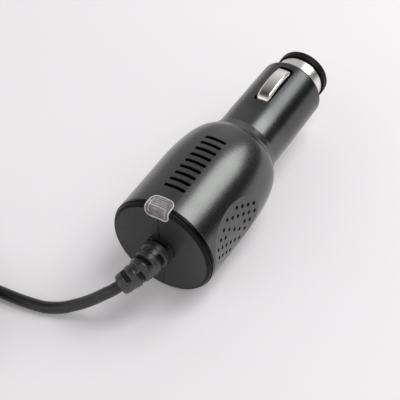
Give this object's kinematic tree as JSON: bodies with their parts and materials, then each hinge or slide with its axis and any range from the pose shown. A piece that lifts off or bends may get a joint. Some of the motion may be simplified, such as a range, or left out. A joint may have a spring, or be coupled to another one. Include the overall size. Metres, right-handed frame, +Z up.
{
  "type": "car charger plug with lead",
  "caption": "Car charger plug for a 12 V socket, with a sprung centre tip, sprung side contacts, a light window and a wound-up lead.",
  "frame": {"origin": "on the surface that the plug lies on, under the middle of the plug between its cap and its tip; the lead is not counted", "axes": "+X along the plug from its cap to its centre tip, +Z up through the light window and the upper side contact, +Y to the left seen from the cap"},
  "size_m": [0.155, 0.0918, 0.0329],
  "materials": {
    "gunmetal_shell": "satin metallic gunmetal finish on moulded plastic",
    "black_plastic": "fine matt moulded plastic",
    "nose_plastic": "satin moulded plastic",
    "clear_plastic": "clear moulded light window with ribs inside",
    "lamp_resin": "clear resin",
    "board_laminate": "green laminate",
    "ferrite": "ferrite",
    "copper_wire": "enamelled copper",
    "capacitor_can": "sleeved can",
    "chip_resin": "moulded resin with tinned feet",
    "wire_insulation": "insulated wire",
    "brass_strip": "bare brass",
    "spring_steel": "drawn wire",
    "nickel": "nickel plate",
    "plated_plastic": "nickel-plated moulded plastic",
    "fuse_glass": "glass tube",
    "relief_rubber": "matt moulded rubber",
    "cord_jacket": "smooth flexible jacket",
    "tie_fabric": "woven strap"
  },
  "bodies": {
    "plug": {"body_shell": "gunmetal_shell", "inner_half_left": "black_plastic", "inner_half_right": "black_plastic", "led_window": "clear_plastic", "led": "lamp_resin", "circuit_board": "board_laminate", "inductor_core": "ferrite", "inductor_winding": "copper_wire", "input_capacitor": "capacitor_can", "output_capacitor": "capacitor_can", "regulator": "chip_resin", "diode": "chip_resin", "cord_wires": "wire_insulation", "ground_wire_top": "wire_insulation", "ground_wire_bottom": "wire_insulation", "ground_terminal_top": "brass_strip", "ground_terminal_bottom": "brass_strip", "spring_seat": "brass_strip", "tip_spring": "spring_steel", "nose_ring": "plated_plastic", "nose_cap": "nose_plastic", "strain_relief": "relief_rubber", "cord": "cord_jacket", "cord_coil": "cord_jacket", "cord_tail": "cord_jacket", "cord_tie": "tie_fabric", "usb_grip": "relief_rubber", "usb_shell": "nickel", "usb_tongue": "black_plastic"},
    "plunger": {"centre_tip": "nickel", "fuse_cap_front": "nickel", "fuse_glass": "fuse_glass", "fuse_cap_rear": "nickel"},
    "contact_top": {"side_contact_top": "nickel"},
    "contact_bottom": {"side_contact_bottom": "nickel"}
  },
  "joints": [
    {"name": "tip_push", "type": "slide", "parent": "plug", "child": "plunger", "axis": [-1, 0, 0], "range_m": [0, 0.003], "stiffness_N_per_m": 600, "deforming": ["tip_spring"]},
    {"name": "contact_top_turn", "type": "hinge", "parent": "plug", "child": "contact_top", "pos_m": [0.00705, 0, 0.024], "axis": [0, 1, 0], "range_deg": [0, 7.5], "stiffness_Nm_per_rad": 0.3},
    {"name": "contact_bottom_turn", "type": "hinge", "parent": "plug", "child": "contact_bottom", "pos_m": [0.00705, 0, 0.0086], "axis": [0, -1, 0], "range_deg": [0, 7.5], "stiffness_Nm_per_rad": 0.3}
  ]
}
